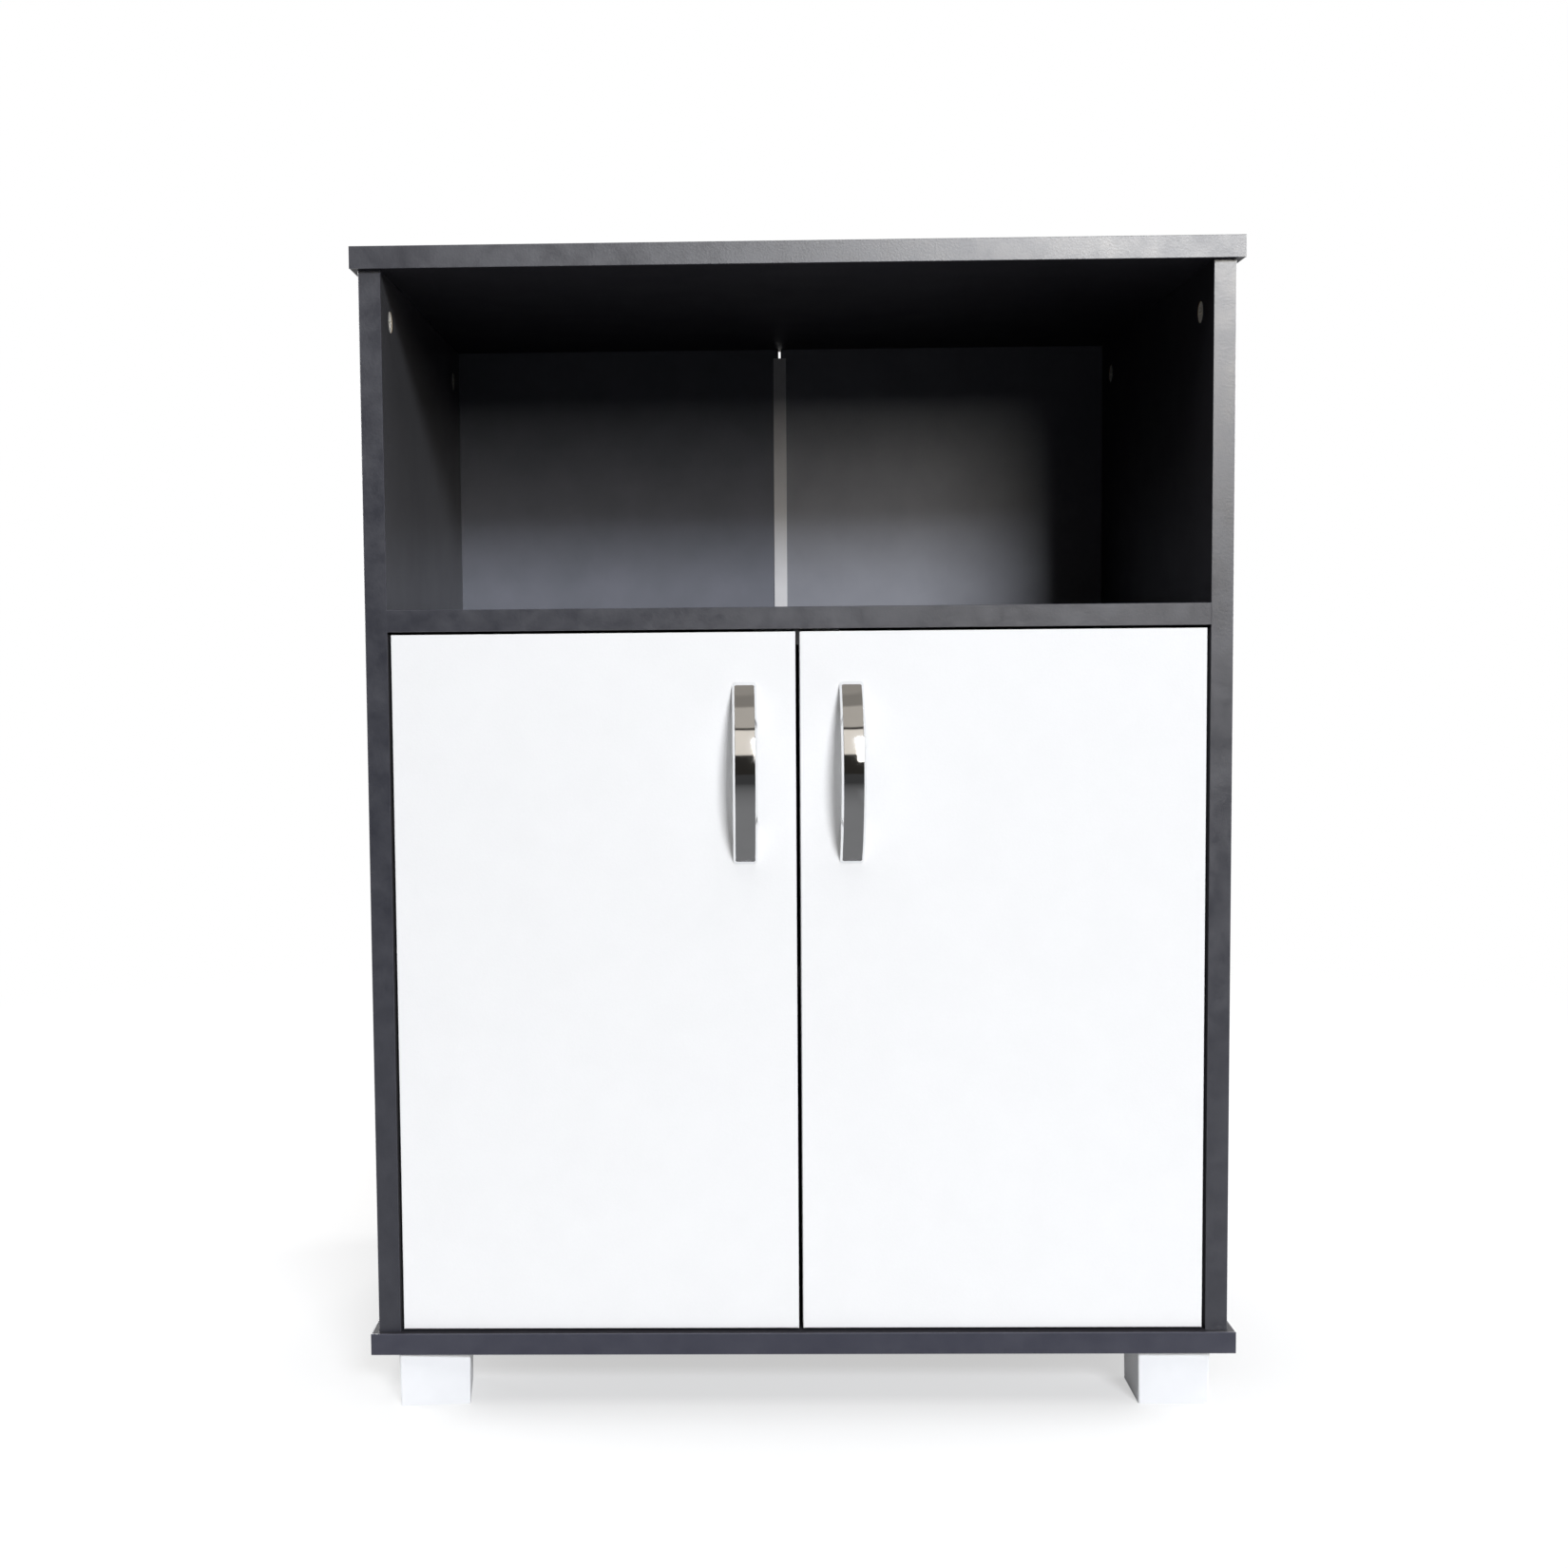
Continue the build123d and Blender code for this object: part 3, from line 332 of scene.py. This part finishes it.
# Some pieces are a little glossier or duller than the rest of their slot. Two are painted lighter:
# the left side panel for the window's light on it, and the bottom bands for the floor's light on
# them.
own_finish = {
    "left_side_panel": "satin_lit_side",
    "right_side_panel": "dull_side",
    "left_back_board": "dull_back_board",
    "top_edge_bands": "glossy_edging",
    "right_side_edge_band": "glossy_edging",
    "bottom_edge_bands": "floor_lit_edging",
}
for name, slot in slot_of.items():
    for material_slot in frame["nodes"][name].material_slots:
        material_slot.material = finishes[own_finish.get(name, slot)]


# Pieces modelled here


def block(name, low, high):
    """A block between two corners in millimetres, in edit mode and with nothing selected."""
    bpy.ops.object.select_all(action="DESELECT")
    centre = [(a + b) / 2 * MM for a, b in zip(low, high)]
    size = [(b - a) * MM for a, b in zip(low, high)]
    bpy.ops.mesh.primitive_cube_add(size=1.0, location=centre, scale=size)
    piece = bpy.context.object
    piece.name = name
    bpy.ops.object.transform_apply(location=True, rotation=True, scale=True)
    bpy.ops.object.mode_set(mode="EDIT")
    bpy.ops.mesh.select_all(action="DESELECT")
    return piece


def pick(piece, kind, test):
    """Select only the vertices, edges or faces that pass the test, which is given places in
    millimetres: a vertex's place, an edge's two ends, or a face's centre and its normal."""
    bpy.ops.mesh.select_mode(type=kind)
    bpy.ops.mesh.select_all(action="DESELECT")
    mesh = bmesh.from_edit_mesh(piece.data)
    if kind == "VERT":
        chosen = [v for v in mesh.verts if test(v.co / MM)]
    elif kind == "EDGE":
        chosen = [e for e in mesh.edges if test(e.verts[0].co / MM, e.verts[1].co / MM)]
    else:
        chosen = [f for f in mesh.faces if test(f.calc_center_median() / MM, f.normal)]
    for item in chosen:
        item.select_set(True)
    mesh.select_flush_mode()
    bmesh.update_edit_mesh(piece.data)


def shift(x=0.0, y=0.0, z=0.0):
    """Move what is selected, in millimetres."""
    bpy.ops.transform.translate(value=(x * MM, y * MM, z * MM))


def slice_across(axis, places):
    """Cut the whole mesh by planes across an axis at places in millimetres."""
    for place in places:
        bpy.ops.mesh.select_all(action="SELECT")
        bpy.ops.mesh.bisect(plane_co=[a * place * MM for a in axis], plane_no=axis)


def softened(piece, radius, angle=25.0):
    """Leave edit mode, round the edges sharper than the angle to that radius in millimetres, and
    shade the piece smooth with its flats kept flat."""
    bpy.ops.object.mode_set(mode="OBJECT")
    rounding = piece.modifiers.new("rounding", "BEVEL")
    rounding.width = radius * MM
    rounding.segments = 3
    rounding.limit_method = "ANGLE"
    rounding.angle_limit = math.radians(angle)
    bpy.ops.object.modifier_apply(modifier=rounding.name)
    bpy.ops.object.shade_smooth()
    flats = piece.modifiers.new("flats", "WEIGHTED_NORMAL")
    flats.weight = 80
    flats.keep_sharp = True
    bpy.ops.object.modifier_apply(modifier=flats.name)


def copy_of(piece, name, x=0.0, y=0.0, turn=0.0):
    """A copy with its own mesh, turned by degrees about the Z axis, then moved by millimetres."""
    copy = bpy.data.objects.new(name, piece.data.copy())
    turned = Matrix.Rotation(math.radians(turn), 4, "Z")
    copy.data.transform(Matrix.Translation((x * MM, y * MM, 0.0)) @ turned)
    bpy.context.scene.collection.objects.link(copy)
    return copy


def in_place_of(piece, node, body):
    """Give the piece its CAD node's finish, body and slot, and hide the node."""
    piece.data.materials.clear()
    piece.data.materials.append(finishes[own_finish.get(node, slot_of[node])])
    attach(piece, body)
    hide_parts(node)


# Arched handles, in millimetres. The face is a band that bows forward, and a sloping skirt runs
# all round it. Behind, the middle is arched out for the fingers.
handle_x, handle_z = 36.5, 442.5
door_front, handle_front = -184.0, -211.0
face_half_width, face_half_length = 6.8, 60.4
skirt_side, skirt_end, skirt_depth = 1.5, 2.0, 3.0
outer_radius, inner_radius = 88.26, 48.6
finger_half_length, finger_front = 41.0, -206.5
back_corner, edge_rounding = 2.6, 0.3
# The face is crowned across, and stands very slightly turned.
crown, face_turn = 0.21, 0.096
# Cuts across the handle follow its bow, and cuts along it on each side of its middle the crown.
cut_reach, cut_step, columns = 57, 3, 4
# Places that are nearer to each other than these are taken as one.
same_level, same_depth, apart = 0.002, 0.01, 0.1


def arc_drop(radius, along):
    """How far an arc falls back from its foremost point, this far along it."""
    return radius - math.sqrt(radius * radius - along * along)


half_width = face_half_width + skirt_side
half_length = face_half_length + skirt_end
bow = block(
    "left_bow_handle",
    (-handle_x - half_width, handle_front, handle_z - half_length),
    (-handle_x + half_width, door_front, handle_z + half_length),
)
pick(bow, "EDGE", lambda a, b: abs(a.y - b.y) > apart)
bpy.ops.mesh.bevel(offset=back_corner * MM, segments=5, affect="EDGES")
pick(bow, "FACE", lambda c, n: n.y < -STRAIGHT)
bpy.ops.mesh.inset(thickness=skirt_side * MM)
shorter = face_half_length / (half_length - skirt_side)
bpy.ops.transform.resize(
    value=(1.0, 1.0, shorter), center_override=(0.0, 0.0, handle_z * MM), orient_type="GLOBAL"
)


def on_rim(place):
    """Whether a place of the flat front is on the outside of the skirt, not round the face."""
    from_middle = abs(place.x + handle_x) + abs(place.z - handle_z)
    face_corner = face_half_width + face_half_length
    return place.y < handle_front + apart and from_middle > face_corner + 2 * apart


def ends_face(place):
    """Whether a place of the flat front is on the face's own outline, at one of its two ends."""
    near_end = abs(place.z - handle_z) > face_half_length - cut_step / 2
    return place.y < handle_front + apart and near_end and not on_rim(place)


pick(bow, "EDGE", lambda a, b: ends_face(a) and ends_face(b))
bpy.ops.mesh.mark_sharp()
pick(bow, "VERT", on_rim)
shift(y=skirt_depth)
slice_across(ACROSS_Z, [handle_z + t for t in range(-cut_reach, cut_reach + 1, cut_step)])
column_width = face_half_width / columns
slice_across(ACROSS_X, [-handle_x + column_width * i for i in range(1 - columns, columns)])
levels = sorted({round(v.co.z / MM, 3) for v in bmesh.from_edit_mesh(bow.data).verts})
rim_front = handle_front + skirt_depth
for level in levels:
    along = level - handle_z
    drop = arc_drop(outer_radius, along)
    # At its two ends the skirt runs out on the door.
    pick(
        bow,
        "VERT",
        lambda p: abs(p.z - level) < same_level and abs(p.y - rim_front) < same_depth,
    )
    shift(y=min(drop, door_front - rim_front))
    pick(bow, "VERT", lambda p: abs(p.z - level) < same_level and p.y < rim_front - apart)
    shift(y=drop)
    if abs(along) < finger_half_length:
        pick(bow, "VERT", lambda p: abs(p.z - level) < same_level and p.y > door_front - apart)
        shift(y=finger_front + arc_drop(inner_radius, along) - door_front)
for column in range(-columns, columns + 1):
    across = column * column_width
    pick(
        bow,
        "VERT",
        lambda p: abs(p.x + handle_x - across) < same_depth
        and p.y < handle_front + arc_drop(outer_radius, p.z - handle_z) + apart / 2,
    )
    share = across / face_half_width
    shift(y=crown * share**2 + face_turn * (1.0 + share))
bpy.ops.mesh.select_all(action="SELECT")
bpy.ops.mesh.remove_doubles(threshold=apart / 2 * MM)
softened(bow, edge_rounding)
other_bow = copy_of(bow, "right_bow_handle", x=2 * handle_x)
in_place_of(bow, "left_handle", "left_leaf")
in_place_of(other_bow, "right_handle", "right_leaf")

# Square feet, in millimetres, moulded hollow from below and a little narrower at the floor. The
# left front one is screwed on slightly turned.
foot_side, foot_sole, foot_height, foot_wall, foot_top = 49.6, 48.5, 38.0, 2.5, 4.0
foot_corner, foot_rounding = 1.5, 0.4
foot_columns = {"left": -258.7, "right": 258.7}
foot_rows = {"front": -158.2, "back": 180.2}
left_front_foot_turn = 5.5
half_side = foot_side / 2
foot = block("moulded_foot", (-half_side, -half_side, 0.0), (half_side, half_side, foot_height))
pick(foot, "EDGE", lambda a, b: abs(a.z - b.z) > apart)
bpy.ops.mesh.bevel(offset=foot_corner * MM, segments=4, affect="EDGES")
pick(foot, "FACE", lambda c, n: n.z < -STRAIGHT)
narrower = foot_sole / foot_side
bpy.ops.transform.resize(
    value=(narrower, narrower, 1.0), center_override=(0.0, 0.0, 0.0), orient_type="GLOBAL"
)
bpy.ops.mesh.inset(thickness=foot_wall * MM)
bpy.ops.mesh.extrude_region_move(
    TRANSFORM_OT_translate={"value": (0.0, 0.0, (foot_height - foot_top) * MM)}
)
softened(foot, foot_rounding, 30.0)
for side, across in foot_columns.items():
    for row, back in foot_rows.items():
        node = f"{side}_{row}_foot"
        turn = left_front_foot_turn if node == "left_front_foot" else 0.0
        in_place_of(copy_of(foot, "moulded_" + node, across, back, turn), node, "carcass")
bpy.data.objects.remove(foot)


# Studio

# The camera stands where the photograph's did, and its shift keeps the same framing.
camera = bpy.data.cameras.new("camera")
camera.sensor_width = 36.0
camera.lens = 43.969
camera.shift_x = 0.06009
camera.shift_y = -0.01224
camera_object = bpy.data.objects.new("camera", camera)
camera_object.location = (-0.04872, -1.49067, 0.53482)
camera_object.rotation_euler = [math.radians(a) for a in (86.2313, 0.5340, 1.0755)]
bpy.context.scene.collection.objects.link(camera_object)
bpy.context.scene.camera = camera_object
bpy.context.scene.view_settings.view_transform = "Standard"

cabinet_middle = Vector((0.0, 0.0, 0.45))


def softbox(name, centre, width, height, watts, colour, mirrored=True):
    """A rectangular lamp at a place, turned to the cabinet's middle."""
    lamp = bpy.data.lights.new(name, "AREA")
    lamp.shape = "RECTANGLE"
    lamp.size = width
    lamp.size_y = height
    lamp.energy = watts
    lamp.color = linear(colour, alpha=False)
    lamp_object = bpy.data.objects.new(name, lamp)
    lamp_object.location = centre
    aim = cabinet_middle - Vector(centre)
    lamp_object.rotation_euler = aim.to_track_quat("-Z", "Y").to_euler()
    lamp_object.visible_camera = False
    lamp_object.visible_glossy = mirrored
    bpy.context.scene.collection.objects.link(lamp_object)


softbox("key_low", (1.87, -6.18, 2.175), 1.92, 1.542, 91.0, "fffaf2")
softbox("key_high", (1.87, -6.18, 3.485), 1.92, 0.946, 325.0, "f4f8ff")
softbox("right_side", (2.6, 0.7, 1.3), 1.6, 1.6, 60.0, "ffffff")
softbox("left_side", (-2.6, 0.7, 1.3), 1.6, 1.6, 60.0, "ffffff")
softbox("behind", (0.0, 3.0, 1.5), 2.0, 1.6, 75.0, "ffffff")
softbox("overhead", (0.0, -0.9, 2.6), 2.0, 1.4, 25.5, "ffffff", mirrored=False)


def seen_by_eye(tree):
    """1 where a camera, mirror or glass ray looks, and 0 for the light that falls on things."""
    rays = add(tree, "LightPath").node.outputs
    straight, mirrored = rays["Is Camera Ray"], rays["Is Glossy Ray"]
    either = add(tree, "Math", {0: straight, 1: mirrored}, operation="MAXIMUM")
    return add(tree, "Math", {0: either, 1: rays["Is Transmission Ray"]}, operation="MAXIMUM")


world = bpy.data.worlds.new("studio")
bpy.context.scene.world = world
world.use_nodes = True
tree = world.node_tree
tree.nodes.clear()
dim = add(tree, "Background", {"Color": "ffffff", "Strength": 0.02})
bright = add(tree, "Background", {"Color": "ffffff", "Strength": 1.0})
both = add(tree, "MixShader", {0: seen_by_eye(tree), 1: dim, 2: bright})
add(tree, "OutputWorld", {"Surface": both})

# The floor is white paper. Close to the cabinet it keeps its shadow, and further out it fades into
# the white behind. About a metre out the paper ends, and the floor throws little light back from
# there, so that the compartment stays deep.
bpy.ops.object.select_all(action="DESELECT")
bpy.ops.mesh.primitive_plane_add(size=24.0, location=(0.0, 0.0, 0.0))
floor = bpy.context.object
floor.name = "floor"
paper, tree = bare_material("white paper")
seen = seen_by_eye(tree)
place = add(tree, "TexCoord", out="Object")
reach = add(tree, "VectorMath", {0: place}, "Value", operation="LENGTH")
fade = add(
    tree,
    "MapRange",
    {"Value": reach, "From Min": 0.5, "From Max": 1.8, "To Min": 0.55, "To Max": 1.0},
    interpolation_type="SMOOTHSTEP",
)
beyond = add(tree, "MapRange", {"Value": reach, "From Min": 0.9, "From Max": 1.2})
thrown = add(tree, "Mix", {0: beyond, 6: "c1c1c1", 7: "484848"}, 2, data_type="RGBA")
paper_colour = add(tree, "Mix", {0: seen, 6: thrown, 7: "f2f2f2"}, 2, data_type="RGBA")
lit = add(tree, "BsdfDiffuse", {"Color": paper_colour})
white = add(tree, "Emission", {"Color": "ffffff", "Strength": 1.0})
glowing = add(tree, "Math", {0: fade, 1: seen}, operation="MULTIPLY")
faded = add(tree, "MixShader", {0: glowing, 1: lit, 2: white})
add(tree, "OutputMaterial", {"Surface": faded})
floor.data.materials.append(paper)


def mirrored_only(card, material):
    """Make a card that only reflections show."""
    card.data.materials.append(material)
    material.cycles.emission_sampling = "NONE"
    for ray in ("camera", "diffuse", "transmission", "volume_scatter", "shadow"):
        setattr(card, "visible_" + ray, False)


# The chrome needs a room to mirror in front of the cabinet: a dim wall with a pale screen before
# it, pale sides, a beige ceiling in tones of its own, and a grey floor. The lamps stand inside it.
room_radius, room_middle = 9.0, (0.0, 0.0, 0.44)
bpy.ops.mesh.primitive_uv_sphere_add(
    segments=64, ring_count=32, radius=room_radius, location=room_middle
)
dome = bpy.context.object
dome.name = "room_in_reflections"
# Only what is in front of a plane that leans back over the cabinet is kept, and of that only what
# is above the floor.
bpy.ops.object.mode_set(mode="EDIT")
bpy.ops.mesh.select_all(action="SELECT")
bpy.ops.mesh.bisect(plane_co=(0.0, -0.3, 0.0), plane_no=(0.0, 1.0, -0.25), clear_outer=True)
bpy.ops.mesh.select_all(action="SELECT")
bpy.ops.mesh.bisect(plane_co=(0.0, 0.0, 0.0), plane_no=ACROSS_Z, clear_inner=True)
bpy.ops.object.mode_set(mode="OBJECT")
walls, tree = bare_material("walls and ceiling")
# Places on the room are directions from its middle, so they run from -1 to 1.
place = add(tree, "VectorMath", {0: add(tree, "TexCoord", out="Object")}, operation="NORMALIZE")
spot = add(tree, "SeparateXYZ", {"Vector": place}).node.outputs
# Upwards the tone changes three times: where the ceiling begins, and twice upon it.
tone, blur = 0.021, 0.01
for height, change in ((0.63, 0.39), (0.86, -0.2), (0.95, 0.065)):
    above = {"From Min": height - blur, "From Max": height + blur, "To Max": change}
    above = add(tree, "MapRange", {"Value": spot["Z"], **above})
    tone = add(tree, "Math", {0: tone, 1: above})
to_side = add(tree, "Math", {0: spot["X"]}, operation="ABSOLUTE")
pale = add(
    tree, "MapRange", {"Value": to_side, "From Min": 0.84, "From Max": 0.96, "To Max": 0.4}
)
tone = add(tree, "Math", {0: tone, 1: pale})
# The screen adds its own tone between a low and a high edge each way.
screen = 0.72
for axis, low, high in (("Z", 0.24, 0.61), ("X", -0.22, 0.5)):
    for edge, inward in ((low, 2 * blur), (high, -2 * blur)):
        within = {"From Min": edge, "From Max": edge + inward}
        within = add(tree, "MapRange", {"Value": spot[axis], **within})
        screen = add(tree, "Math", {0: screen, 1: within}, operation="MULTIPLY")
tone = add(tree, "Math", {0: tone, 1: screen})
glow = add(tree, "Emission", {"Color": "fff6ea", "Strength": tone})
add(tree, "OutputMaterial", {"Surface": glow})
mirrored_only(dome, walls)

bpy.ops.mesh.primitive_circle_add(
    vertices=64, radius=room_radius, fill_type="NGON", location=(0.0, 0.0, MM)
)
lower_card = bpy.context.object
lower_card.name = "floor_in_reflections"
# Only what is in front of the doors is kept.
bpy.ops.object.mode_set(mode="EDIT")
bpy.ops.mesh.select_all(action="SELECT")
bpy.ops.mesh.bisect(plane_co=(0.0, -0.19, 0.0), plane_no=ACROSS_Y, clear_outer=True)
bpy.ops.object.mode_set(mode="OBJECT")
grey, tree = bare_material("grey floor")
# It is paler near the cabinet, and most of all to the two sides there.
place = add(tree, "TexCoord", out="Object")
reach = add(tree, "VectorMath", {0: place}, "Value", operation="LENGTH")
near_tone, far_tone = 0.19, 0.042
tone = {"From Min": 0.8, "From Max": 2.5, "To Min": near_tone, "To Max": far_tone}
tone = add(tree, "MapRange", {"Value": reach, **tone})
across = add(tree, "SeparateXYZ", {"Vector": place}, "X")
to_side = add(tree, "Math", {0: across}, operation="ABSOLUTE")
pale = add(tree, "MapRange", {"Value": to_side, "From Min": 0.2, "From Max": 0.6, "To Max": 0.4})
near = {"From Min": 0.8, "From Max": 1.8, "To Min": 1.0, "To Max": 0.0}
near = add(tree, "MapRange", {"Value": reach, **near})
pale = add(tree, "Math", {0: pale, 1: near}, operation="MULTIPLY")
tone = add(tree, "Math", {0: tone, 1: pale})
glow = add(tree, "Emission", {"Color": "f8f8fa", "Strength": tone})
add(tree, "OutputMaterial", {"Surface": glow})
mirrored_only(lower_card, grey)
